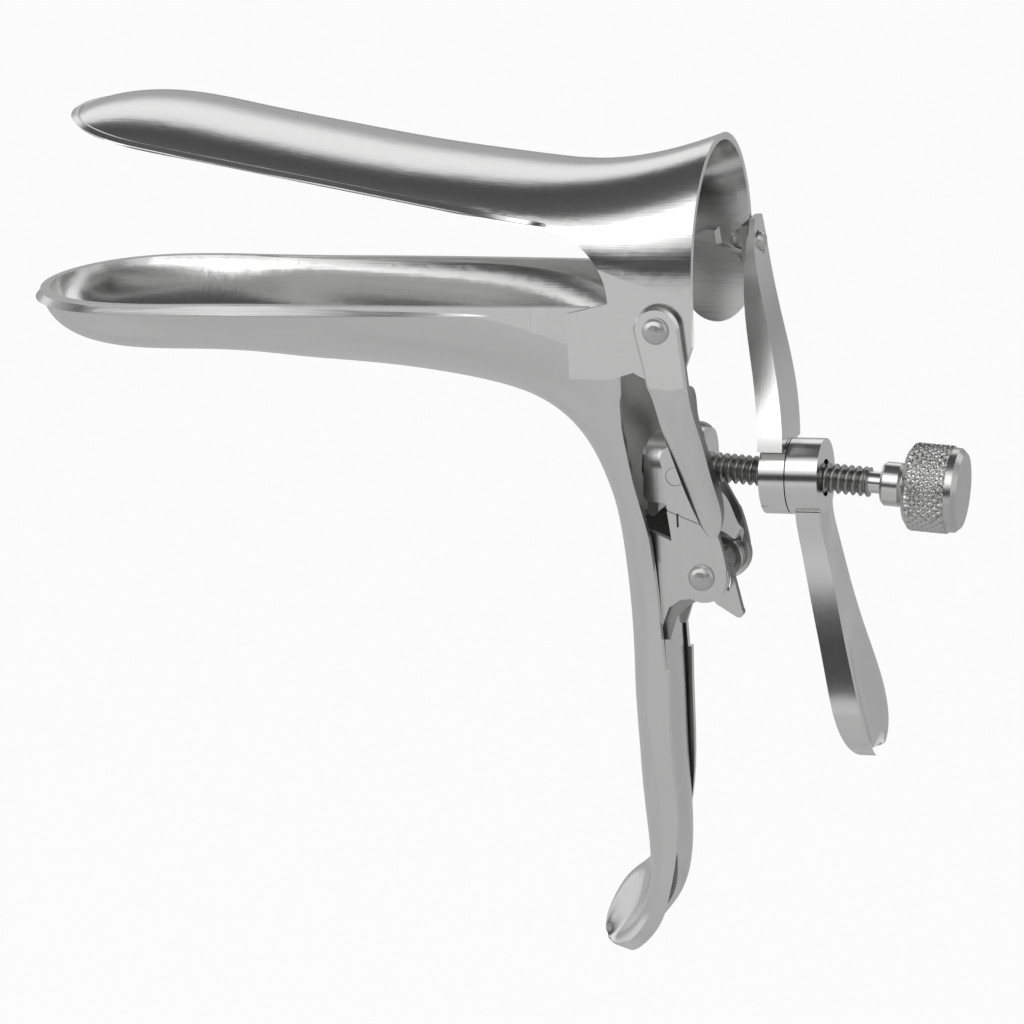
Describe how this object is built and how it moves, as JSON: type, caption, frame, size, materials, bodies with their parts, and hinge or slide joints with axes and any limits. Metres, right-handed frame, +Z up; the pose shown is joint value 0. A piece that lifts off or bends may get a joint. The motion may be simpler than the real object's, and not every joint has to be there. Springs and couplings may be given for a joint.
{
  "type": "bivalve speculum",
  "caption": "Bivalve speculum: two hinged trough blades on a curved hand grip, opened by a knurled thumbscrew through a block and a thumb lever.",
  "frame": {"origin": "on the handle grip, in the middle of the channel between the stem and the back leaf", "axes": "+X from the blade tips towards the knob, +Y across the instrument to its far side, +Z up along the handle towards the blades"},
  "size_m": [0.1608, 0.0434, 0.1497],
  "materials": {
    "satin_steel": "satin polished stainless steel with fine brushing along each piece",
    "polished_steel": "bright polished stainless steel",
    "thread_steel": "plain turned steel, darker between the threads",
    "knurled_steel": "diamond knurled steel"
  },
  "bodies": {
    "handle": {"lower_blade": "satin_steel", "side_arm": "polished_steel", "rear_bow": "polished_steel", "near_cheek": "satin_steel", "far_cheek": "satin_steel", "handle_bracket": "satin_steel", "handle_rivet": "polished_steel", "near_pivot_rivet": "polished_steel", "far_pivot_rivet": "polished_steel"},
    "upper": {"upper_blade": "satin_steel", "lever_bracket": "satin_steel", "lever_wall_rivet": "polished_steel", "lever_strap_rivet": "polished_steel", "lever_arm": "polished_steel", "lever_bush": "thread_steel", "thumb_lever": "polished_steel"},
    "block": {"screw_block": "satin_steel", "near_trunnion": "polished_steel", "far_trunnion": "polished_steel"},
    "spindle": {"screw_shaft": "thread_steel", "retaining_ring": "polished_steel", "knob_hub": "polished_steel", "knob": "knurled_steel"},
    "back_leaf": {"back_handle": "satin_steel", "release_tab": "satin_steel"}
  },
  "joints": [
    {"name": "blade_hinge", "type": "hinge", "parent": "handle", "child": "upper", "pos_m": [0.0086, 0, 0.078], "axis": [0, 1, 0], "range_deg": [-14, 8]},
    {"name": "block_swing", "type": "hinge", "parent": "handle", "child": "block", "pos_m": [0.0066, 0, 0.05007], "axis": [0, 1, 0], "range_deg": [-14, 8]},
    {"name": "screw_turn", "type": "hinge", "parent": "block", "child": "spindle", "pos_m": [0.0066, 0, 0.05007], "axis": [0.9972, 0, -0.075], "continuous": true},
    {"name": "handle_hinge", "type": "hinge", "parent": "handle", "child": "back_leaf", "pos_m": [0.0103, 0, 0.0328], "axis": [0, -1, 0], "range_deg": [0, 18]}
  ],
  "couplings": [
    {"joint": "block_swing", "follows": "blade_hinge", "ratio": 0.95},
    {"joint": "screw_turn", "follows": "blade_hinge", "ratio": 139.9}
  ]
}
